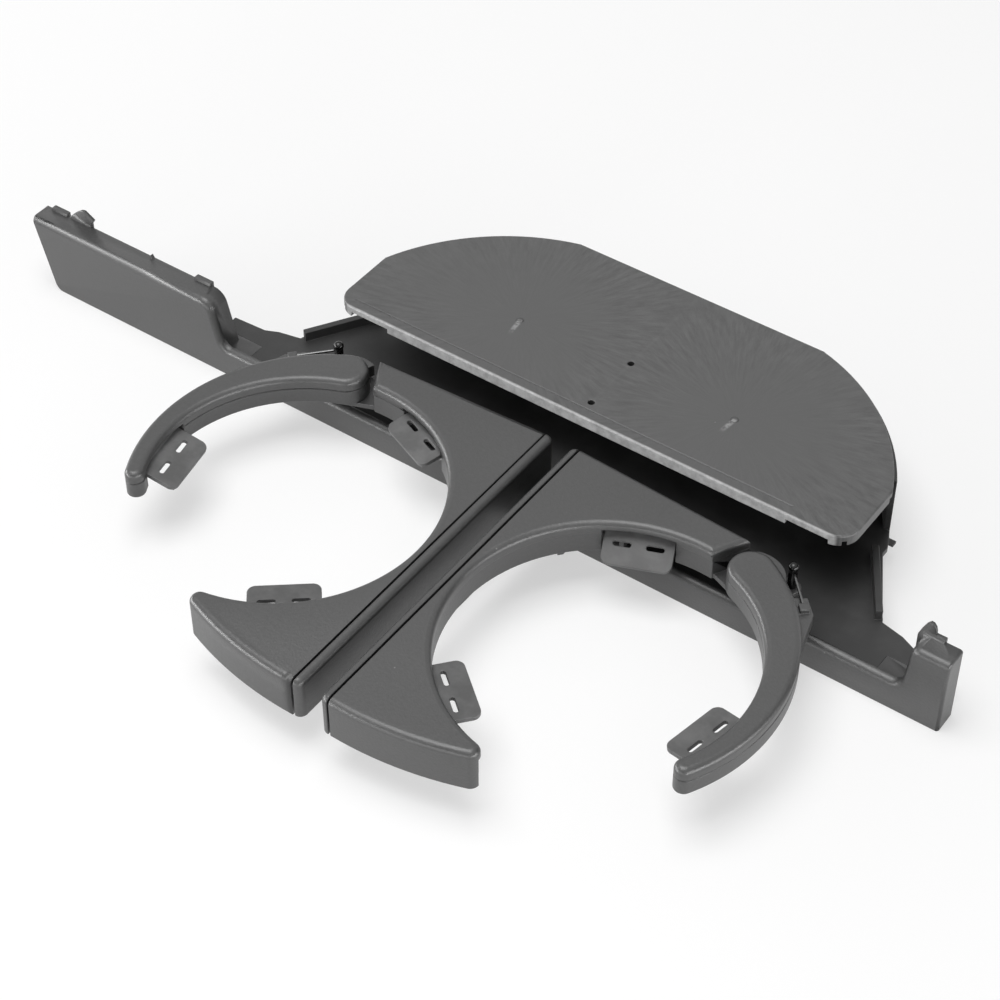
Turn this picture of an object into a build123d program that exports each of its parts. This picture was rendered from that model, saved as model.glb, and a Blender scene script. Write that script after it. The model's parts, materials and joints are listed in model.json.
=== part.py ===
"""Dashboard cup holder with two swing-out wings, each with a folding arm and three sprung flaps.

Frame, in millimetres: X runs along the fascia, Y runs back into the dashboard, Z is up.
X = 0 is the middle plane between the wings, Y = 0 the front of the fascia, Z = 0 its lower edge.
The wings are drawn swung out. The right-hand side is drawn and the left-hand side is its mirror image.
"""
import os
from math import atan2, cos, degrees, hypot, radians, sin, sqrt

from build123d import *

os.makedirs("parts", exist_ok=True)

# Heights and walls
strip_height = 9.7
floor_drop = 1.5
floor_thick = 2.0
wing_gap = 2.0
wing_thick = 13.3
web_rise = 3.1
rim_depth = 3.6
cover_gap = 2.0
cover_thick = 2.1
wall = 1.8
running_fit = 0.05
moving_gap = 0.1
parting = 0.3
floor_top = strip_height - floor_drop
floor_under = floor_top - floor_thick
wing_bottom = strip_height + wing_gap
wing_top = wing_bottom + wing_thick
wing_split = wing_top - rim_depth
ring_bottom = wing_bottom + web_rise
cover_under = wing_top + cover_gap
cover_top = cover_under + cover_thick

# Wing: a web round a cup ring, with a finished strip along its inner side
spine_face = 3.0
spine_skin = 1.6
spine_top = 2.4
seam_gap = 0.6
seam = spine_face + spine_top
web = 2.2
ring_radius = 44.4
ring_set = 0.2
ring_step = 0.3
rib_clear = 2.6
ring_end_angle = 85.0
wing_back = 12.9
tip_web = 10.5
tip_radius = 2.7
rim_round = 2.0
back_sweep = 2.9
back_reach = 9.4
ring_x = seam + seam_gap + web + ring_radius
ring_y = -ring_radius - ring_set
wing_front = ring_radius - ring_y + tip_web
outer_back_x = ring_x + back_reach
outer_back_y = wing_back - back_sweep

# The swing pivot brings the face of the spine flush with the fascia after a quarter turn.
stow_gap = 0.6
pivot_x = (wing_back + stow_gap + spine_face) / 2
pivot_y = pivot_x - spine_face
swing_reach = hypot(wing_front + pivot_y, pivot_x - spine_face)
pin_radius = 2.0
head_radius = pin_radius + 1.0
hub_radius = pin_radius + 1.6
hub_top = wing_split - 3.2

# Arm: a crescent between two arcs that run into a round root and a round tip
arm_root = 6.5
arm_tip = 2.7
arm_tip_angle = -29.1
arm_tip_inset = 2.9
arm_outset = 5.5
arm_drop = 8.5
arm_bulge = 9.0
arm_hollow = 2.4
arm_round = 1.9
lug_thick = 1.5
lug_radius = 8.6
arm_pin_radius = 1.8
post_radius = 1.3
ball_radius = 1.5
wire_radius = 0.4
rail_height = 4.3
rail_end = 29.5
rail_crest = 41.7
rail_start = 47.8
block_near = 42.4
block_far = 45.1
arm_x = outer_back_x + arm_outset
arm_y = outer_back_y - arm_drop
arm_tip_x = ring_x + (ring_radius - arm_tip_inset) * cos(radians(arm_tip_angle))
arm_tip_y = ring_y + (ring_radius - arm_tip_inset) * sin(radians(arm_tip_angle))
arm_out_radius = ring_radius + arm_bulge
arm_in_radius = ring_radius - arm_hollow
arm_bottom = ring_bottom + lug_thick + moving_gap
post_reach = arm_root + 3.3 + post_radius
post_bearing = 40.8
arm_rim = post_reach - post_radius - 0.5

# Flaps
flap_width = 19.6
flap_reach = 11.8
flap_thick = 1.4
flap_corner = 2.4
slot_length = 5.0
slot_width = 1.4
flap_level = wing_top - 4.2
rear_inset = 4.4
front_inset = 2.6
arm_inset = 2.0
hinge_mouth = 3.0
notch_set = 0.5
barrel_radius = 1.4
trunnion_radius = 0.8
trunnion_length = 2.4
flap_play = 0.3
rear_angle = 112.3
front_angle = 231.2
arm_flap_angle = -11.2

# Fascia: the opening takes both wings when they are swung in
opening_half = pivot_x + swing_reach + stow_gap
fascia_depth = 7.2
fascia_face = 2.4
panel_end = opening_half + 67.2
block_end = opening_half + 12.7
panel_lean = 0.27
opening_lean = 0.25
block_lean = 0.1
panel_round = 2.8
panel_corner = 4.6
inner_corner = 3.0
face_round = 2.0
end_round = 0.9
ledge_depth = fascia_depth + 1.5

# Cover and tray
post_x = arm_x + post_reach * cos(radians(post_bearing))
post_y = arm_y + post_reach * sin(radians(post_bearing))
cover_half = opening_half - 28.3
cover_front = wing_back + 6.6
cover_back = post_x + 6.5
cover_corner = 6.5
cover_inset = -1.0
d_x = 24.0
d_radius = cover_half - d_x + 4.9
d_y = cover_back - d_radius + 2.4
lip_half = cover_half - 18.9
lip_drop = 1.5
lip_thick = 1.5
hook_half = cover_half - 5.9
tray_half = opening_half - 8.0
tray_wall_start = cover_front + 30.0
boss_radius = pin_radius + 3.2
rib_pitch = 38.0


def prism(plan, low, high):
    """Upright solid on a plan, between two heights."""
    return extrude(Pos(0, 0, low) * plan, high - low, dir=(0, 0, 1))


def disc(x, y, radius):
    return Pos(x, y) * Circle(radius)


def poly(*points):
    return Polygon(*points, align=None)


def rod(x, y, radius, low, high):
    return prism(disc(x, y, radius), low, high)


def box(x0, x1, y0, y1, z0, z1):
    middle = Pos((x0 + x1) / 2, (y0 + y1) / 2, (z0 + z1) / 2)
    return middle * Box(x1 - x0, y1 - y0, z1 - z0)


def top_edges(solid, height):
    return solid.edges().filter_by(lambda e: abs(e.bounding_box().min.Z - height) < 1e-4)


def flipped(shape):
    return mirror(shape, about=Plane.YZ)


def back_edge(x):
    """Back edge of the wing, swept forward a little towards its outer end."""
    return wing_back + (outer_back_y - wing_back) * (x - spine_face) / (outer_back_x - spine_face)


def front_edge(x):
    """Front end of the wing at x, on the arc about the swing pivot."""
    return pivot_y - sqrt(swing_reach**2 - (x - pivot_x) ** 2)


def crossing(x0, y0, r0, x1, y1, r1):
    """Both points where two circles cross."""
    gap = hypot(x1 - x0, y1 - y0)
    along = (gap**2 + r0**2 - r1**2) / (2 * gap)
    across = sqrt(r0**2 - along**2)
    ux, uy = (x1 - x0) / gap, (y1 - y0) / gap
    return (
        (x0 + along * ux + across * uy, y0 + along * uy - across * ux),
        (x0 + along * ux - across * uy, y0 + along * uy + across * ux),
    )


def on_circle(x, y, radius, angle):
    return (x + radius * cos(radians(angle)), y + radius * sin(radians(angle)))


def bearing(x, y, point):
    """Direction of a point from (x, y), in degrees from 0 to 360."""
    return degrees(atan2(point[1] - y, point[0] - x)) % 360


def arc(x, y, radius, start, end):
    middle = on_circle(x, y, radius, (start + end) / 2)
    return ThreePointArc(on_circle(x, y, radius, start), middle, on_circle(x, y, radius, end))


def wing_plan(inner_x, ring):
    """Wing seen from above, from inner_x outwards, around a ring of the given radius."""
    both = crossing(pivot_x, pivot_y, swing_reach - tip_radius, ring_x, ring_y, ring + tip_radius)
    tip = min(both, key=lambda point: point[1])
    tip_ring = bearing(ring_x, ring_y, tip)
    tip_front = bearing(pivot_x, pivot_y, tip)
    front = (inner_x, front_edge(inner_x))
    back = (inner_x, back_edge(inner_x))
    outer = (outer_back_x, outer_back_y)
    return make_face([
        Line(back, outer),
        Line(outer, on_circle(ring_x, ring_y, ring, ring_end_angle)),
        arc(ring_x, ring_y, ring, ring_end_angle, tip_ring),
        arc(*tip, tip_radius, tip_ring - 180, tip_front - 360),
        arc(pivot_x, pivot_y, swing_reach, tip_front, bearing(pivot_x, pivot_y, front)),
        Line(front, back),
    ])


def hollow_plan():
    """Room inside the wing, behind and in front of the ring."""
    inner = seam + hub_radius
    outer = ring_x - ring_radius / 3
    back = poly(
        (inner, ring_y + ring_radius / 2),
        (inner, back_edge(inner) - wall),
        (outer_back_x - 2 * wall, outer_back_y - wall),
        (ring_x, ring_y + 0.8 * ring_radius),
    )
    front = poly((inner, ring_y - ring_radius / 2), (outer, ring_y - ring_radius / 2),
                 (outer, -wing_front), (inner, -wing_front))
    keep_out = disc(ring_x, ring_y, ring_radius + wall)
    return ((back + front) - keep_out) & disc(pivot_x, pivot_y, swing_reach - 2 * wall)


def arm_centre(radius, sign):
    """Centre of an arc that touches the round root and tip of the arm, from outside or inside."""
    root = radius + sign * arm_root
    tip = radius + sign * arm_tip
    return min(crossing(arm_x, arm_y, root, arm_tip_x, arm_tip_y, tip))


arm_out = arm_centre(arm_out_radius, -1)
arm_in = arm_centre(arm_in_radius, 1)


def hinge_frame(x, y, radius, angle):
    """Place on a hinge line: local X along the hinge, local Y towards the cup, local Z up."""
    return Pos(*on_circle(x, y, radius, angle), flap_level) * Rot(0, 0, angle + 90)


def hinge_block(low, high):
    """Solid round a hinge line, between two heights, that the trunnions turn in."""
    half = flap_width / 2 + trunnion_length + wall
    return box(-half, half, -barrel_radius - 2 * wall, hinge_mouth, low - flap_level, high - flap_level)


def hinge_cut(inset, depth, low):
    """Room for one flap about its hinge line, a notch that it swings down through and its trunnion holes."""
    side = flap_width / 2 + flap_play
    mouth = inset + hinge_mouth
    room = box(-side, side, -depth, mouth, low - flap_level, barrel_radius + flap_play)
    notch = box(-side, side, notch_set, mouth, -flap_level, 0)
    span = flap_width + 2 * (trunnion_length + moving_gap)
    hole = Rot(0, 90, 0) * Cylinder(trunnion_radius + running_fit, span)
    return room + notch + hole


def flap(droop):
    """One flap about its hinge line, hanging by the given angle."""
    half = flap_width / 2
    sheet = box(-half, half, 0, flap_reach, -flap_thick / 2, flap_thick / 2)
    corners = sheet.edges().filter_by(Axis.Z).group_by(Axis.Y)[-1]
    body = fillet(corners, flap_corner)
    for side in (-1, 1):
        slot = Pos(side * flap_width / 4.3, 0.48 * flap_reach) * SlotOverall(slot_length, slot_width)
        body -= prism(slot, -flap_thick, flap_thick)
        body += Pos(side * (half - 3.2), flap_reach - 1.4, -flap_thick) * Box(3.0, 1.2, flap_thick + 0.2)
    body += Rot(0, 90, 0) * Cylinder(barrel_radius, flap_width)
    body += Rot(0, 90, 0) * Cylinder(trunnion_radius, flap_width + 2 * trunnion_length)
    return Rot(-droop, 0, 0) * body


def rear_hinge():
    return hinge_frame(ring_x, ring_y, ring_radius + rear_inset, rear_angle)


def front_hinge():
    return hinge_frame(ring_x, ring_y, ring_radius + front_inset, front_angle)


def arm_hinge():
    return hinge_frame(*arm_in, arm_in_radius + arm_inset, arm_flap_angle)


def lug_plan():
    """Thin plate at the outer end of the wing that carries the arm and the spring post."""
    corner = on_circle(ring_x, ring_y, ring_radius + 1.0, ring_end_angle)
    boss = 2 * post_radius
    link = poly(
        corner,
        on_circle(arm_x, arm_y, lug_radius, -55),
        on_circle(post_x, post_y, boss, -30),
        on_circle(post_x, post_y, boss, 100),
        (outer_back_x - 1.0, outer_back_y - 0.4),
        (outer_back_x - 2 * wall, outer_back_y - 2 * wall),
    )
    return link + disc(post_x, post_y, boss)


def wing_shell():
    """Upper skin of the wing with a rounded rim and a skirt round its front end."""
    plan = wing_plan(seam + seam_gap, ring_radius)
    body = prism(plan, wing_split, wing_top)
    outer = top_edges(body, wing_top).filter_by(lambda e: e.center().X > seam + seam_gap + 0.1)
    body = fillet(outer, rim_round)
    body += prism(plan - disc(pivot_x, pivot_y, swing_reach - wall), wing_bottom, wing_split)
    ceiling = wing_top - 2.0
    body -= prism(hollow_plan(), wing_split, ceiling)
    skin = prism(plan, wing_split, ceiling)
    for place, inset in ((rear_hinge(), rear_inset), (front_hinge(), front_inset)):
        body += (place * hinge_block(wing_split, ceiling)) & skin
        body -= place * hinge_cut(inset, barrel_radius + wall, wing_split)
    return body


def wing_base():
    """Lower half of the wing: a ribbed floor with the swing hub and the lug for the arm."""
    inner_x = spine_face + spine_skin
    inside = disc(pivot_x, pivot_y, swing_reach - wall - moving_gap)
    plan = wing_plan(inner_x, ring_radius + ring_step) & inside
    body = prism(plan, ring_bottom, wing_split)
    body -= prism(hollow_plan(), ring_bottom + wall, wing_split)
    ribs = poly((inner_x, back_edge(inner_x)), (outer_back_x, outer_back_y),
                (outer_back_x, outer_back_y - wall), (inner_x, back_edge(inner_x) - wall))
    ribs += poly((inner_x, -wing_front), (inner_x, wing_back), (inner_x + wall, wing_back), (inner_x + wall, -wing_front))
    for share in (0.25, 0.5, 0.75):
        x = inner_x + share * (ring_x - inner_x)
        ribs += poly((x, -wing_front), (x, wing_back), (x + 1.2, wing_back), (x + 1.2, -wing_front))
    ribs -= disc(ring_x, ring_y, ring_radius + rib_clear)
    body += prism(ribs & plan, wing_bottom, ring_bottom)
    body -= box(0, seam + seam_gap, -wing_front - 5, -wing_front + wall + seam_gap, 0, wing_top)
    body -= box(0, seam + seam_gap, wing_back - wall - seam_gap, wing_back + 5, 0, wing_top)
    skin = prism(plan, ring_bottom, wing_split)
    for place, inset in ((rear_hinge(), rear_inset), (front_hinge(), front_inset)):
        body += (place * hinge_block(ring_bottom, wing_split)) & skin
        body -= place * hinge_cut(inset, barrel_radius + wall, ring_bottom + wall)
    body += prism(lug_plan(), ring_bottom, ring_bottom + lug_thick)
    body += rod(pivot_x, pivot_y, hub_radius, wing_bottom, hub_top)
    body -= rod(pivot_x, pivot_y, pin_radius + running_fit, 0, wing_top)
    body -= rod(pivot_x, pivot_y, head_radius + 0.4, hub_top, wing_top)
    body -= rod(arm_x, arm_y, arm_pin_radius, 0, wing_top)
    body -= rod(post_x, post_y, 0.7 * post_radius, 0, wing_top)
    return body


def spine():
    """Finished strip along the inner side of the wing, the front face when the wing is stowed."""
    strip = poly((spine_face, wing_back), (seam, back_edge(seam)),
                 (seam, front_edge(seam)), (spine_face, front_edge(spine_face)))
    corners = strip.vertices().filter_by(lambda v: v.X < seam - 0.1)
    body = prism(fillet(corners, spine_top - 0.2), wing_bottom, wing_top)
    rim = top_edges(body, wing_top).filter_by(lambda e: e.center().X < seam - 0.1)
    body = fillet(rim, rim_round)
    inner_x = spine_face + spine_skin
    return body - box(inner_x, seam + 1, -wing_front + wall, wing_back - wall, 0, wing_split)


def swing_pin():
    """Headed pin in the tray on which the wing swings."""
    body = rod(pivot_x, pivot_y, pin_radius, floor_under, hub_top + moving_gap)
    return body + rod(pivot_x, pivot_y, head_radius, hub_top + moving_gap, hub_top + 1.3)


def arm_plan():
    """Arm seen from above."""
    root, tip = (arm_x, arm_y), (arm_tip_x, arm_tip_y)
    out_root, out_tip = bearing(*arm_out, root), bearing(*arm_out, tip) - 360
    in_root, in_tip = bearing(*arm_in, root), bearing(*arm_in, tip) - 360
    return make_face([
        arc(*arm_out, arm_out_radius, out_root, out_tip),
        arc(*tip, arm_tip, out_tip, in_tip - 180),
        arc(*arm_in, arm_in_radius, in_tip, in_root),
        arc(*root, arm_root, in_root + 180, out_root),
    ])


def along_arm(angle, height):
    """Point outside the outer edge of the arm, by a given height."""
    return on_circle(*arm_out, arm_out_radius + height, angle)


def rail_plan():
    """Cam rail on the outer side of the arm, run into a rim round the back of its root."""
    rail = poly(along_arm(rail_start + 2, -3), along_arm(rail_start, rail_height), along_arm(rail_crest, rail_height),
                along_arm(rail_end, 0), along_arm(rail_end, -3))
    far = 2 * arm_rim
    sector = poly((arm_x, arm_y), on_circle(arm_x, arm_y, far, 20), on_circle(arm_x, arm_y, far, 65),
                  on_circle(arm_x, arm_y, far, 112))
    return rail + (disc(arm_x, arm_y, arm_rim) & sector)


def block_plan():
    """Raised block on the rail that holds the arm spring."""
    low, high = 0.2 * rail_height, 0.8 * rail_height
    return poly(along_arm(block_far, low), along_arm(block_far, high), along_arm(block_near, high), along_arm(block_near, low))


def arm_cap():
    """Upper half of the arm."""
    body = prism(arm_plan(), wing_split, wing_top)
    body = fillet(top_edges(body, wing_top), arm_round)
    body -= arm_hinge() * hinge_cut(arm_inset, barrel_radius + 0.2, wing_split)
    return body - rod(arm_x, arm_y, arm_pin_radius + running_fit, 0, wing_top - 2.0)


def arm_base():
    """Lower half of the arm with its cam rail."""
    body = prism(arm_plan(), arm_bottom, wing_split - parting) + prism(rail_plan(), arm_bottom + 1.0, wing_split)
    body += prism(offset(arm_plan(), -parting), wing_split - parting, wing_split)
    body += prism(block_plan(), wing_split, wing_split + 1.4)
    body -= arm_hinge() * hinge_cut(arm_inset, barrel_radius + 0.2, arm_bottom + 1.4)
    return body - rod(arm_x, arm_y, arm_pin_radius + running_fit, 0, wing_top) - arm_spring()


def arm_pin():
    """Rivet in the lug on which the arm folds."""
    body = rod(arm_x, arm_y, arm_pin_radius, ring_bottom, wing_top - 2.4)
    return body + rod(arm_x, arm_y, arm_pin_radius + 1.2, ring_bottom - 0.7, ring_bottom)


def spring_post():
    """Round-headed post on the lug that the arm spring bears on."""
    seat = ring_bottom + lug_thick
    body = rod(post_x, post_y, 0.7 * post_radius, ring_bottom, seat)
    body += rod(post_x, post_y, post_radius, seat, wing_top - 2.0)
    return body + Pos(post_x, post_y, wing_top - ball_radius) * Sphere(ball_radius)


def arm_spring():
    """Straight spring wire from the block on the arm to the near side of the post."""
    height = wing_split + 0.7
    block = along_arm(block_near + 0.8, 0.5 * rail_height)
    reach = 1 - (post_radius + moving_gap) / hypot(post_x - block[0], post_y - block[1])
    end = (block[0] + reach * (post_x - block[0]), block[1] + reach * (post_y - block[1]))
    path = Line((*block, height), (*end, height))
    return sweep(Plane(origin=path @ 0, z_dir=path % 0) * Circle(wire_radius), path=path)


def cover_plan(inset):
    """D-shaped plan of the cover, drawn in by an inset."""
    half = cover_half - inset
    back = cover_back - inset
    front = cover_front + inset
    radius = d_radius - inset
    side_y = d_y + sqrt(radius**2 - (half - d_x) ** 2)
    flat_x = d_x + sqrt(radius**2 - (back - d_y) ** 2)
    start = bearing(d_x, d_y, (half, side_y))
    end = bearing(d_x, d_y, (flat_x, back))
    return make_face([
        Line((-half, front), (half, front)),
        Line((half, front), (half, side_y)),
        arc(d_x, d_y, radius, start, end),
        Line((flat_x, back), (-flat_x, back)),
        arc(-d_x, d_y, radius, 180 - end, 180 - start),
        Line((-half, side_y), (-half, front)),
    ])


def cover():
    """D-shaped lid over the stowed wings, with a lip along its front edge."""
    plan = cover_plan(0)
    plan = fillet(plan.vertices().group_by(Axis.Y)[0], cover_corner)
    body = prism(plan, cover_under - lip_drop, cover_top)
    body = fillet(top_edges(body, cover_top), 0.6)
    rim = cover_half - lip_thick
    body -= box(-rim, rim, cover_front + lip_thick, cover_back + 1, 0, cover_under)
    gap = box(lip_half, hook_half, cover_front - 1, cover_front + 9, 0, cover_under)
    body -= gap + flipped(gap)
    body -= box(-2 * cover_half, 2 * cover_half, tray_wall_start - 7, cover_back + 1, 0, cover_under)
    groove = cover_front + 3.4
    body -= box(5 - cover_half, lip_half, groove, groove + 0.3, cover_top - 0.3, cover_top + 1)
    for y in (cover_front + 6.5, cover_front + 26.5):
        body -= rod(0, y, 1.0, 0, cover_top + 1)
    return body


def tray_plan():
    """Floor of the tray, with an ear behind each end of the fascia opening."""
    neck = (opening_half - 14.8, cover_front + cover_inset)
    ear = opening_half + 7.2
    half = [
        (tray_half, fascia_face), (tray_half, ledge_depth), (ear, ledge_depth), (ear, ledge_depth + 5.9),
        (opening_half - 3.8, ledge_depth + 6.5), (opening_half - 7.8, ledge_depth + 8.3), neck,
        (cover_half - cover_inset, tray_wall_start - 8.5),
    ]
    return poly(*half, *[(-x, y) for x, y in reversed(half)])


def glide_plan():
    """Low rib along the slanted side of the tray that the wing glides over."""
    x0, y0 = opening_half - 15.4, cover_front - 0.3
    x1, y1 = cover_half - 0.1, tray_wall_start - 9.3
    return poly((x0, y0), (x1, y1), (x1 - 1.7, y1 - 1.1), (x0 - 1.7, y0 - 1.1))


def tray():
    """Floor under the stowed wings, with the back wall, glide ribs and swing bosses."""
    outer, inner = cover_plan(cover_inset), cover_plan(cover_inset + wall)
    body = prism(tray_plan(), floor_under, floor_top) + prism(outer, floor_under, floor_top)
    shell = prism(outer, floor_top, cover_under) - prism(inner, floor_top, cover_under)
    body += shell & box(-2 * cover_half, 2 * cover_half, tray_wall_start, 2 * cover_back, 0, cover_top)
    edge = cover_half - cover_inset
    boss = rod(pivot_x, pivot_y, boss_radius, floor_top, wing_bottom - moving_gap)
    boss -= box(0, 2 * pivot_x + boss_radius, -boss_radius, fascia_face, 0, wing_top)
    rib = prism(glide_plan(), floor_top, wing_bottom - 0.3)
    foot = box(edge - 4 * wall, edge + 0.4, tray_wall_start - 3.4, tray_wall_start - 1.4, floor_under, floor_top - 1)
    for piece in (boss, rib, foot):
        body += piece + flipped(piece)
    for step in (-2, -1, 0, 1, 2):
        x = step * rib_pitch
        beyond = max(0, abs(x) - d_x)
        end = min(cover_back - 6, d_y + sqrt((d_radius - 4) ** 2 - beyond**2))
        body += box(x - wall / 2, x + wall / 2, fascia_face, end, 0, floor_under)
    for y in (cover_front - 5.5, tray_wall_start - 1.5):
        body += box(-2 * rib_pitch, 2 * rib_pitch, y - wall / 2, y + wall / 2, 0, floor_under)
    bore = rod(pivot_x, pivot_y, pin_radius, 0, wing_top)
    return body - bore - flipped(bore)


def front_prism(plan, front, back):
    """Solid on an outline drawn in the plane of the fascia."""
    return extrude(Pos(0, front, 0) * (Plane.XZ * plan), back - front, dir=(0, 1, 0))


def left_side(z):
    """Left end of the opening at a height."""
    return -opening_half - opening_lean * (z - strip_height)


def right_side(z):
    """Right end of the opening at a height."""
    return opening_half + block_lean * (z - strip_height)


def face_outline():
    """Front view of the fascia: tall panel, low strip and small block, with rounded corners at the opening."""
    outline = poly(
        (-panel_end, 0), (block_end, 0), (block_end, wing_top), (right_side(wing_top), wing_top),
        (right_side(strip_height), strip_height), (left_side(strip_height), strip_height),
        (left_side(wing_top), wing_top), (-panel_end - panel_lean * wing_top, wing_top),
    )
    corners = (
        (-panel_end, 0, panel_round), (right_side(wing_top), wing_top, panel_round),
        (right_side(strip_height), strip_height, inner_corner), (left_side(strip_height), strip_height, inner_corner),
        (left_side(wing_top), wing_top, panel_corner),
    )
    for x, z, radius in corners:
        outline = fillet(outline.vertices().sort_by_distance((x, z))[0], radius)
    return outline


def fascia():
    """Front trim: a tall panel on the left, a low strip under the opening and a block on the right."""
    far = 2 * panel_end
    outline = face_outline()
    panel = outline & poly((-far, 0), (left_side(0), 0), (left_side(wing_top), wing_top), (-far, wing_top))
    block = outline & poly((right_side(0), 0), (far, 0), (far, wing_top), (right_side(wing_top), wing_top))
    body = front_prism(outline, 0, fascia_face)
    body += front_prism(panel, 0, fascia_depth) + front_prism(block, 0, fascia_depth)
    front = body.edges().filter_by(lambda e: e.bounding_box().max.Y < 1e-4)
    body = fillet(front.filter_by(lambda e: e.center().Z > strip_height - 0.1 and -panel_end < e.center().X < block_end - 0.1),
                  face_round)
    end = body.edges().filter_by(lambda e: e.bounding_box().min.X > block_end - 1e-4)
    body = fillet(end.filter_by(lambda e: e.center().Y < fascia_depth - 0.1 and e.center().Z > 0.1), end_round)
    for part in (panel, block):
        body -= front_prism(offset(part, -2.0, kind=Kind.INTERSECTION), fascia_face, fascia_depth)
    ledge = box(tray_half, opening_half + 3, fascia_face, ledge_depth, floor_under, floor_top)
    body += ledge + flipped(ledge)
    back = fascia_depth
    for x in (-panel_end - 1.2, -opening_half - 11.4, opening_half + 4.7):
        body += box(x - 3.0, x + 3.0, back - 1.0, back + 0.9, wing_top - 1, wing_top + 0.8)
    fin = Pos(-panel_end, wing_top) * poly((3.0, -2), (3.0, 0.6), (5.3, 2.8), (7.6, 4.4), (8.9, 4.7),
                                           (12.4, 2.7), (11.4, 1.0), (11.4, -2))
    nib = Pos(-(panel_end + opening_half) / 2, wing_top) * poly((1.6, -1), (2.3, 1.2), (3.6, -1))
    tongue = Pos(opening_half, wing_top) * poly((0.1, -6), (0.1, -1), (0.6, 0.4), (1.7, 2.8), (2.8, 4.2),
                                                (3.6, 4.1), (4.4, 3.2), (4.8, 1.8), (4.8, -6))
    body += front_prism(fin, back - 0.6, back + 0.8) + front_prism(tongue, back - 0.6, back + 0.8)
    return body + front_prism(nib, back - 1.2, back)


export_step(fascia(), "parts/fascia.step")
export_step(tray(), "parts/tray.step")
export_step(cover(), "parts/cover.step")
droops = {"right": (32, 2, 8), "left": (12, 2, 18)}
for side, turn in (("right", lambda s: s), ("left", flipped)):
    export_step(turn(wing_shell()), f"parts/wing_shell_{side}.step")
    export_step(turn(wing_base()), f"parts/wing_base_{side}.step")
    export_step(turn(spine()), f"parts/spine_{side}.step")
    export_step(turn(arm_cap()), f"parts/arm_cap_{side}.step")
    export_step(turn(arm_base()), f"parts/arm_base_{side}.step")
    export_step(turn(swing_pin()), f"parts/swing_pin_{side}.step")
    export_step(turn(arm_pin()), f"parts/arm_pin_{side}.step")
    export_step(turn(spring_post()), f"parts/spring_post_{side}.step")
    export_step(turn(arm_spring()), f"parts/arm_spring_{side}.step")
    rear, front, arm = droops[side]
    export_step(turn(rear_hinge() * flap(rear)), f"parts/flap_rear_{side}.step")
    export_step(turn(front_hinge() * flap(front)), f"parts/flap_front_{side}.step")
    export_step(turn(arm_hinge() * flap(arm)), f"parts/flap_arm_{side}.step")
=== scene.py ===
"""Looks of the dashboard cup holder: moulded edges, plastics and steels, studio floor, lamps and camera."""
import json
import math

import bmesh
import bpy
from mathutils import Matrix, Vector
from mathutils.bvhtree import BVHTree

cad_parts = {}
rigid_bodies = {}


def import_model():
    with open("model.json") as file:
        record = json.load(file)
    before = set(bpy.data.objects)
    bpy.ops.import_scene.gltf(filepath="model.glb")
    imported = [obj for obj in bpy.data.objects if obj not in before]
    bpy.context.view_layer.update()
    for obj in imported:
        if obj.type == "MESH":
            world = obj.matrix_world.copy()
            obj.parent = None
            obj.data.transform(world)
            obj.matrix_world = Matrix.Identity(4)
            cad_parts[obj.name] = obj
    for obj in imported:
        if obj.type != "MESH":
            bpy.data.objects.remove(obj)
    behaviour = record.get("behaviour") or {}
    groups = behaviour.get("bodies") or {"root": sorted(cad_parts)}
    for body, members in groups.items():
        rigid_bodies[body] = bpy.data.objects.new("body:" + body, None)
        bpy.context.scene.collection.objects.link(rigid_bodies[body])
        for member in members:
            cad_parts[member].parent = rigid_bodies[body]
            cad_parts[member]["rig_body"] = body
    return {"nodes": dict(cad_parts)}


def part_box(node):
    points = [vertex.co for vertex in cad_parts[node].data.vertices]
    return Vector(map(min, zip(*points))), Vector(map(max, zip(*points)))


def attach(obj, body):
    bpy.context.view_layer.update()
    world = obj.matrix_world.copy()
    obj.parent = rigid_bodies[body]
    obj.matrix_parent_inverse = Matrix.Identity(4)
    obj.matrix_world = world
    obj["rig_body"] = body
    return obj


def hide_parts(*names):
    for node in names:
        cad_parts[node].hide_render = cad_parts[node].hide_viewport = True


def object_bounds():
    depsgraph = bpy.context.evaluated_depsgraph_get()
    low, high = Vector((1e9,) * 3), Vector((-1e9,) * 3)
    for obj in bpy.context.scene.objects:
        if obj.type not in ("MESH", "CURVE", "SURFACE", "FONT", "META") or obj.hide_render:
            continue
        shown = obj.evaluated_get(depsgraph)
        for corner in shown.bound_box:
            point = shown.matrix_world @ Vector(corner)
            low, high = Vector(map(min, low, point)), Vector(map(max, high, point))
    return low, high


for leftover in list(bpy.data.objects):
    bpy.data.objects.remove(leftover)
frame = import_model()
cad_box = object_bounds()
scene = bpy.context.scene
mm = 0.001

# Edges left by the mould
moulded_edge = 0.22 * mm
sharp_turn = math.radians(28)
flat_turn = math.radians(0.4)
weld_reach = 0.001 * mm
crowd_reach = 1.5 * mm
attempts = 6

# Display levels run from 0, black, to 255, white
display_top = 255
curve_lift = 0.055
curve_power = 2.4

# Dust specks: radius and patches as shares of their spacing
speck_core = 0.018
speck_edge = 0.034
speck_patch = 3

# Smoother plastics of the flaps and the tray
cloudy_roughness = 0.5
cloud_span = (0.35, 0.7)

# Grained plastic of the fascia, wings and arms
grained_levels = (42, 64)
grained_roughness = 0.4
grained_gloss = 0.75
grain_size = 1.0 * mm
grain_shade = 1.1
grain_dulling = 0.14
tone_size = 28 * mm
tone_shade = 0.3
tone_dulling = 0.08
pit_size = 0.7 * mm
pit_depth = 0.06 * mm

# Painted shade: the low inner faces of the fascia, behind its front wall, get one flat grey for the shade
# in the recess
recess_shade_level = 58
face_depth = 2.6 * mm
face_fade = 0.2 * mm
ledge_top = 9.0 * mm
ledge_fade = 0.4 * mm

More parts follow.
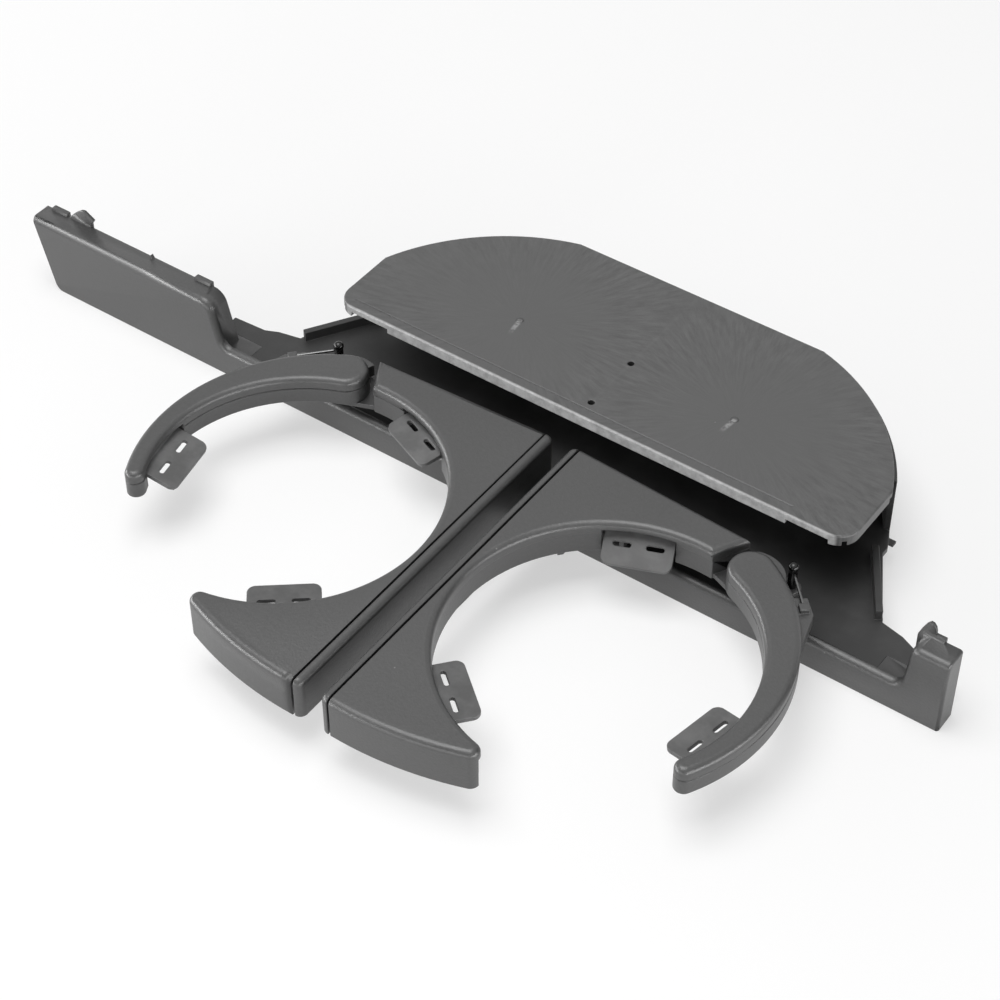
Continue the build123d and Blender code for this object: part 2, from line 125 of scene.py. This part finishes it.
# Cover, with the two gates where the melt came in
cover_levels = (40, 78)
cover_roughness = 0.46
cover_gloss = 0.8
cover_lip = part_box("cover")[0].y
gate_set = 36.2 * mm
gate_line = cover_lip + 23.5 * mm
speckle_size = 0.4 * mm
speckle_shade = 0.25
speckle_dulling = 0.1
speckle_relief = 0.4

# Streaks that fan out from the gates, per radian round a gate and per metre away from it
streaks_round = 30
streaks_along = 150
streaks_apart = 90
side_blend = 6 * mm
streak_start = 8 * mm
streak_full = 46 * mm
streak_least = 0.25
streak_shade = 2.6
streak_dulling = 0.35
streak_depth = 0.03 * mm
patch_size = 34 * mm
patch_span = (0.36, 0.62)
patch_least = 0.5

# Weld line in the middle of the cover, marks at the gates with a painted shade ring round each pip, and
# scuffs on the lip
weld_width = 0.8 * mm
weld_patch = 9 * mm
weld_strength = 0.04
pip_core = 0.8 * mm
pip_edge = 1.1 * mm
pip_height = 0.3 * mm
# painted shade: a dark ring round each gate pip, for the shade of the recess it sits in
ring_shade_core = 0.9 * mm
ring_shade_edge = 1.5 * mm
ring_shade_level = 24
scar_level = 150
scar_strength = 0.7
scar_slant = 0.12
scar_core = 0.3 * mm
scar_edge = 1.0 * mm
scar_start = (-0.6 * mm, 0.3 * mm)
scar_end = (2.5 * mm, 7 * mm)
scar_patch = 1.2 * mm
scar_span = (0.3, 0.6)
scuff_level = 170
scuff_strength = 0.75
scuff_core = 0.2 * mm
scuff_edge = 0.9 * mm
scuff_patch = 2.5 * mm
scuff_span = (0.25, 0.75)
scuff_least = 0.5

# Steels
bright_steel_levels = (92, 124)
dark_steel_levels = (44, 60)
steel_roughness = 0.24
steel_dulling = 0.2
stain_size = 1.2 * mm
line_size = 0.15 * mm
line_depth = 0.004 * mm

# Studio, with its distances in metres
floor_reach = 2.5
floor_gap = 0.1 * mm
floor_colour = 0.95
floor_glow = 0.5
wall_distance = 1.9
wall_height = 1.2
wall_colour = 0.04
wall_panels = 20
wall_first = math.radians(-100)
wall_last = math.radians(150)
sky_strength = 0.2
white = 1.0
lamp_distance = 1.4

# Camera, with its bearing off the front and its height in degrees
view_bearing = 35.55
view_height = 44.58
view_distance = 660 * mm
view_target = Vector((-0.53, -16.83, 25.01)) * mm
view_nearest = 10 * mm
focal_share = 2.456
sensor = 36.0


class Value:
    """A shader socket that takes part in sums, so that masks are written as plain expressions."""

    def __init__(self, board, socket):
        self.board = board
        self.socket = socket

    def maths(self, operation, first, second=0.0):
        return self.board.node("ShaderNodeMath", {"operation": operation}, {0: first, 1: second}).out()

    def __add__(self, other):
        return self.maths("ADD", self, other)

    def __radd__(self, other):
        return self.maths("ADD", other, self)

    def __sub__(self, other):
        return self.maths("SUBTRACT", self, other)

    def __rsub__(self, other):
        return self.maths("SUBTRACT", other, self)

    def __mul__(self, other):
        return self.maths("MULTIPLY", self, other)

    def __rmul__(self, other):
        return self.maths("MULTIPLY", other, self)

    def __gt__(self, other):
        return self.maths("GREATER_THAN", self, other)

    def __lt__(self, other):
        return self.maths("LESS_THAN", self, other)

    def root(self):
        return self.maths("SQRT", self)

    def absolute(self):
        return self.maths("ABSOLUTE", self)

    def least(self, other):
        return self.maths("MINIMUM", self, other)

    def most(self, other):
        return self.maths("MAXIMUM", self, other)

    def turn(self, other):
        """Angle in radians whose rise is this value and whose run is the other."""
        return self.maths("ARCTAN2", self, other)

    def clamped(self):
        return self.board.node("ShaderNodeClamp", {}, {"Value": self}).out()

    def swing(self, share):
        """A cloudy value from 0 to 1, as a share above or below its middle."""
        return (self - 0.5) * share

    def swept(self, low, high, start=0.0, end=1.0):
        """Eased step from start at low to end at high."""
        settings = {"interpolation_type": "SMOOTHSTEP"}
        sockets = {"Value": self, "From Min": low, "From Max": high, "To Min": start, "To Max": end}
        return self.board.node("ShaderNodeMapRange", settings, sockets).out()

    def fading(self, low, high):
        """Eased step from 1 at low to 0 at high."""
        return self.swept(low, high, 1.0, 0.0)


class Made:
    """One node on a board, with its outputs by name or number."""

    def __init__(self, board, node):
        self.board = board
        self.node = node

    def out(self, name=0):
        return Value(self.board, self.node.outputs[name])


class Board:
    """Node tree of one material or of the world, with one way to add a node."""

    def __init__(self, tree):
        self.tree = tree
        tree.nodes.clear()

    def node(self, kind, settings, sockets):
        node = self.tree.nodes.new(kind)
        for name, value in settings.items():
            setattr(node, name, value)
        for name, value in sockets.items():
            if isinstance(value, Value):
                self.tree.links.new(value.socket, node.inputs[name])
            else:
                node.inputs[name].default_value = value
        return Made(self, node)

    def place(self):
        return self.node("ShaderNodeTexCoord", {}, {}).out("Object")

    def axes(self):
        parts = self.node("ShaderNodeSeparateXYZ", {}, {0: self.place()})
        return parts.out("X"), parts.out("Y"), parts.out("Z")

    def noise(self, size, detail=2.0, rough=0.5, where=None):
        """Cloudy values from 0 to 1 with blots of about the given size in metres."""
        sockets = {"Vector": where or self.place(), "Scale": 1 / size, "Detail": detail, "Roughness": rough}
        return self.node("ShaderNodeTexNoise", {}, sockets).out("Fac")

    def cells(self, size):
        """Distance to the nearest of scattered points that lie about the given size apart."""
        sockets = {"Vector": self.place(), "Scale": 1 / size}
        return self.node("ShaderNodeTexVoronoi", {}, sockets).out("Distance")

    def joined(self, x, y, z):
        return self.node("ShaderNodeCombineXYZ", {}, {0: x, 1: y, 2: z}).out()

    def mixed(self, share, first, second):
        """Colour between two colours."""
        return self.node("ShaderNodeMix", {"data_type": "RGBA"}, {0: share, 6: first, 7: second}).out(2)

    def between(self, share, levels):
        """Grey between two display levels."""
        return self.mixed(share, grey(levels[0]), grey(levels[1]))

    def bump(self, height, depth, under=None):
        sockets = {"Height": height, "Distance": depth, "Strength": 1.0}
        if under is not None:
            sockets["Normal"] = under
        return self.node("ShaderNodeBump", {}, sockets).out()

    def seen(self):
        """1 for rays from the camera, a mirror or clear glass, which see the plain white backdrop."""
        rays = self.node("ShaderNodeLightPath", {}, {})
        direct = rays.out("Is Camera Ray")
        return direct.most(rays.out("Is Glossy Ray")).most(rays.out("Is Transmission Ray"))

    def blend(self, share, first, second):
        return self.node("ShaderNodeMixShader", {}, {0: share, 1: first.out(), 2: second.out()})

    def show(self, surface, output="ShaderNodeOutputMaterial"):
        self.node(output, {}, {"Surface": surface.out()})

    def finish(self, colour, roughness, relief, gloss=0.5, metal=0.0):
        sockets = {"Base Color": colour, "Roughness": roughness, "Normal": relief}
        sockets.update({"Specular IOR Level": gloss, "Metallic": metal})
        self.show(self.node("ShaderNodeBsdfPrincipled", {}, sockets))


def even(share):
    """Linear colour with equal red, green and blue."""
    return (share, share, share, 1.0)


def grey(level):
    """Linear colour of a grey display level."""
    return even(((level / display_top + curve_lift) / (1 + curve_lift)) ** curve_power)


def new_board(name):
    material = bpy.data.materials.new(name)
    material.use_nodes = True
    return material, Board(material.node_tree)


def dusted(board, colour, spacing, share, strength, level):
    """Colour with few pale dust specks, on a share of the places that could have one."""
    near = board.cells(spacing)
    chosen = board.noise(speck_patch * spacing, detail=0.0) > 1 - share
    return board.mixed(near.fading(speck_core, speck_edge) * chosen * strength, colour, grey(level))


def grained_plastic(name, shaded_faces=None):
    """Dark moulded plastic with a fine spark-eroded grain; chosen recessed faces get one even grey as
    painted shade.
    """
    material, board = new_board(name)
    grain = board.noise(grain_size, detail=3.0, rough=0.75)
    tone = board.noise(tone_size)
    shade = grain.swing(grain_shade) + tone.swing(tone_shade) + 0.5
    colour = board.between(shade.clamped(), grained_levels)
    # painted shade: the recessed faces get one flat grey in place of the grain
    if shaded_faces is not None:
        colour = board.mixed(shaded_faces(board), colour, grey(recess_shade_level))
    colour = dusted(board, colour, spacing=9 * mm, share=0.36, strength=0.6, level=140)
    roughness = grained_roughness + grain.swing(grain_dulling) + tone.swing(tone_dulling)
    relief = board.bump(board.noise(pit_size, rough=0.65), pit_depth)
    board.finish(colour, roughness, relief, grained_gloss)
    return material


def recess_shade_mask(board):
    """1 on the low faces of the fascia that lie behind its front wall, inside the opening, where shade is
    painted.
    """
    _, y, z = board.axes()
    return y.swept(face_depth, face_depth + face_fade) * z.fading(ledge_top, ledge_top + ledge_fade)


def cloudy_plastic(name, levels, gloss, cloud_size, cloud_dulling, fine_size, fine_dulling, fine_depth,
                   dust_spacing, dust_strength, dust_level):
    """Smoother plastic with faint cloudy marks of handling or rubbing."""
    material, board = new_board(name)
    cloud = board.noise(cloud_size, detail=3.0, rough=0.6)
    fine = board.noise(fine_size)
    colour = board.between(cloud.swept(*cloud_span), levels)
    colour = dusted(board, colour, dust_spacing, share=0.4, strength=dust_strength, level=dust_level)
    roughness = cloudy_roughness + cloud.swing(cloud_dulling) + fine.swing(fine_dulling)
    board.finish(colour, roughness, board.bump(fine, fine_depth), gloss)
    return material


def melt_streaks(board, x, y):
    """Streaks of the melt round the nearer gate, and the distance to that gate."""
    streaks = []
    distances = []
    for gate in (-gate_set, gate_set):
        away_x = x - gate
        away_y = y - gate_line
        distance = (away_x * away_x + away_y * away_y).root()
        turn = away_y.turn(away_x)
        where = board.joined(turn * streaks_round, distance * streaks_along, gate * streaks_apart)
        fan = board.noise(1.0, detail=4.0, rough=0.7, where=where)
        own_side = x.swept(-side_blend, side_blend) if gate > 0 else x.fading(-side_blend, side_blend)
        streaks.append(fan * own_side)
        distances.append(distance)
    return streaks[0] + streaks[1], distances[0].least(distances[1])


def gate_scar(board, x, y):
    """Ragged scar that trails from each gate towards the lip."""
    ahead = gate_line - y
    slanted = x.absolute() - gate_set + ahead * scar_slant
    trail = slanted.absolute().fading(scar_core, scar_edge)
    trail = trail * ahead.swept(*scar_start) * ahead.fading(*scar_end)
    return trail * board.noise(scar_patch, detail=3.0).swept(*scar_span)


def cover_plastic():
    """Cover with melt streaks from two gates, a weld line between them, painted shade round the gate pips
    and a scuffed lip.
    """
    material, board = new_board("cover_plastic_finish")
    x, y, _ = board.axes()
    streaks, near = melt_streaks(board, x, y)
    patches = board.noise(patch_size).swept(*patch_span, patch_least, 1.0)
    strong = near.swept(streak_start, streak_full, streak_least, 1.0) * patches
    speckle = board.noise(speckle_size, rough=0.6)
    weld = x.absolute().fading(0.0, weld_width) * board.noise(weld_patch)
    scar = gate_scar(board, x, y)
    pip = near.fading(pip_core, pip_edge)
    # painted shade: dark ring round each pip, standing for the shade of its recess
    ring_shade = near.fading(ring_shade_core, ring_shade_edge) * (1 - pip)
    worn = board.noise(scuff_patch, detail=3.0, rough=0.7).swept(*scuff_span, scuff_least, 1.0)
    scuff = y.fading(cover_lip + scuff_core, cover_lip + scuff_edge) * worn
    shade = 0.5 + streaks.swing(strong) * streak_shade + speckle.swing(speckle_shade)
    colour = board.between(shade.clamped(), cover_levels)
    colour = board.mixed(weld * weld_strength + scar * scar_strength, colour, grey(scar_level))
    colour = board.mixed(ring_shade, colour, grey(ring_shade_level))
    colour = board.mixed(scuff * scuff_strength, colour, grey(scuff_level))
    colour = dusted(board, colour, spacing=11 * mm, share=0.4, strength=0.7, level=150)
    roughness = cover_roughness + streaks.swing(strong) * streak_dulling + speckle.swing(speckle_dulling)
    relief = board.bump(streaks * strong + speckle * speckle_relief, streak_depth)
    board.finish(colour, roughness, board.bump(pip, pip_height, relief), cover_gloss)
    return material


def steel(name, levels):
    """Drawn or turned steel with faint stains and draw lines."""
    material, board = new_board(name)
    stain = board.noise(stain_size, detail=3.0, rough=0.6)
    colour = board.between(stain, levels)
    roughness = steel_roughness + stain.swing(steel_dulling)
    board.finish(colour, roughness, board.bump(board.noise(line_size), line_depth), metal=1.0)
    return material


def welded(source):
    """Closed copy of a node's mesh with its flat faces whole."""
    mesh = bmesh.new()
    mesh.from_mesh(source.data)
    bmesh.ops.remove_doubles(mesh, verts=mesh.verts, dist=weld_reach)
    bmesh.ops.dissolve_limit(mesh, angle_limit=flat_turn, verts=mesh.verts, edges=mesh.edges)
    mesh.normal_update()
    return mesh


def is_sharp(edge):
    return len(edge.link_faces) == 2 and edge.calc_face_angle() > sharp_turn


def is_free(edge, crowded):
    """True where no crowded spot lies near the middle of an edge."""
    middle = (edge.verts[0].co + edge.verts[1].co) / 2
    return all((middle - spot).length > crowd_reach for spot in crowded)


def rounded_edges(source):
    """Welded copy with small round edges, left sharp only where an edge is too crowded to be rounded."""
    surface = BVHTree.FromBMesh(welded(source))
    crowded = []
    for _ in range(attempts):
        mesh = welded(source)
        free = [edge for edge in mesh.edges if is_sharp(edge) and is_free(edge, crowded)]
        bmesh.ops.bevel(mesh, geom=free, offset=moulded_edge, offset_type="OFFSET", segments=2, profile=0.5,
                        affect="EDGES", clamp_overlap=False)
        found = [surface.find_nearest(vertex.co) for vertex in mesh.verts]
        astray = [near for near, _, _, distance in found if distance > moulded_edge]
        if not astray:
            return mesh
        crowded += astray
        mesh.free()
    return welded(source)


def moulded(node, material):
    """Copy of a node with small round moulded edges, standing for the node on the same body."""
    source = frame["nodes"][node]
    mesh = rounded_edges(source)
    data = bpy.data.meshes.new(node + "_moulded")
    mesh.to_mesh(data)
    mesh.free()
    data.shade_smooth()
    data.materials.append(material)
    piece = bpy.data.objects.new(node + "_moulded", data)
    scene.collection.objects.link(piece)
    weighted = piece.modifiers.new("even_shading", "WEIGHTED_NORMAL")
    weighted.keep_sharp = True
    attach(piece, source["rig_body"])
    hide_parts(node)
    return piece


def staged(name, corners, faces, material):
    """New piece of the studio, which is no part of the object."""
    data = bpy.data.meshes.new(name)
    data.from_pydata(corners, [], faces)
    data.materials.append(material)
    piece = bpy.data.objects.new(name, data)
    scene.collection.objects.link(piece)
    return piece


def floor():
    """Pale floor that keeps a soft shadow."""
    material, board = new_board("pale_floor")
    matt = board.node("ShaderNodeBsdfDiffuse", {}, {"Color": even(floor_colour)})
    glow = board.node("ShaderNodeEmission", {}, {"Color": even(white), "Strength": white})
    board.show(board.blend(board.seen() * floor_glow, matt, glow))
    level = cad_box[0].z - floor_gap
    signs = [(-1, -1), (1, -1), (1, 1), (-1, 1)]
    corners = [(x * floor_reach, y * floor_reach, level) for x, y in signs]
    staged("studio_floor", corners, [(0, 1, 2, 3)], material)


def wall():
    """Dim wall before the object, hidden from the camera, so that the front edges mirror a dark band."""
    material, board = new_board("dim_wall")
    board.show(board.node("ShaderNodeBsdfDiffuse", {}, {"Color": even(wall_colour)}))
    corners = []
    for panel in range(wall_panels + 1):
        turn = wall_first + (wall_last - wall_first) * panel / wall_panels
        foot = (wall_distance * math.sin(turn), -wall_distance * math.cos(turn))
        corners += [(*foot, 0.0), (*foot, wall_height)]
    faces = [(2 * panel, 2 * panel + 1, 2 * panel + 3, 2 * panel + 2) for panel in range(wall_panels)]
    staged("studio_wall", corners, faces, material).visible_camera = False


def world():
    """Plain white behind the object and a dim even light on it."""
    made = bpy.data.worlds.new("studio")
    scene.world = made
    made.use_nodes = True
    board = Board(made.node_tree)
    dim = board.node("ShaderNodeBackground", {}, {"Color": even(white), "Strength": sky_strength})
    plain = board.node("ShaderNodeBackground", {}, {"Color": even(white), "Strength": white})
    board.show(board.blend(board.seen(), dim, plain), "ShaderNodeOutputWorld")


def aimed(name, data, bearing, height, distance):
    """New lamp or camera that faces the object from a bearing off the front and a height, in degrees."""
    turn = math.radians(bearing)
    rise = math.radians(height)
    away = Vector((math.sin(turn) * math.cos(rise), -math.cos(turn) * math.cos(rise), math.sin(rise)))
    piece = bpy.data.objects.new(name, data)
    piece.location = view_target + away * distance
    piece.rotation_mode = "QUATERNION"
    piece.rotation_quaternion = away.to_track_quat("Z", "Y")
    scene.collection.objects.link(piece)
    return piece


def lamp(name, bearing, height, width, depth, watts, distance=lamp_distance):
    """Soft box that lights the object."""
    data = bpy.data.lights.new(name, "AREA")
    data.shape = "RECTANGLE"
    data.size = width
    data.size_y = depth
    data.energy = watts
    aimed(name, data, bearing, height, distance)


def camera():
    data = bpy.data.cameras.new("camera")
    data.sensor_width = sensor
    data.lens = focal_share * sensor
    data.clip_start = view_nearest
    scene.camera = aimed("camera", data, view_bearing, view_height, view_distance)


finishes = {
    "grained_plastic": grained_plastic("grained_plastic_finish"),
    "flap_plastic": cloudy_plastic(
        "flap_plastic_finish", levels=(80, 98), gloss=0.45, cloud_size=7 * mm, cloud_dulling=0.2,
        fine_size=0.6 * mm, fine_dulling=0.0, fine_depth=0.012 * mm,
        dust_spacing=7 * mm, dust_strength=0.7, dust_level=150),
    "cover_plastic": cover_plastic(),
    "tray_plastic": cloudy_plastic(
        "tray_plastic_finish", levels=(44, 56), gloss=0.4, cloud_size=16 * mm, cloud_dulling=0.25,
        fine_size=0.5 * mm, fine_dulling=0.1, fine_depth=0.015 * mm,
        dust_spacing=8 * mm, dust_strength=0.5, dust_level=120),
    "bright_steel": steel("bright_steel_finish", bright_steel_levels),
}
dark_steel = steel("dark_steel_finish", dark_steel_levels)
own_finishes = {
    # the fascia's recessed faces get a flat painted shade
    "fascia": grained_plastic("fascia_finish", recess_shade_mask),
    "spring_post_right": dark_steel,
    "spring_post_left": dark_steel,
}
for name, node in frame["nodes"].items():
    slot = node.material_slots[0].material.name
    piece = moulded(name, own_finishes.get(name, finishes[slot]))

scene.view_settings.view_transform = "Standard"
floor()
wall()
world()
lamp("overhead_box", bearing=-50, height=80, width=0.9, depth=0.9, watts=13, distance=1.3)
lamp("right_strip", bearing=80, height=6, width=2.0, depth=0.3, watts=21)
lamp("left_strip", bearing=-58, height=6, width=2.0, depth=0.3, watts=26)
lamp("front_strip", bearing=8, height=6, width=1.0, depth=0.3, watts=5)
camera()
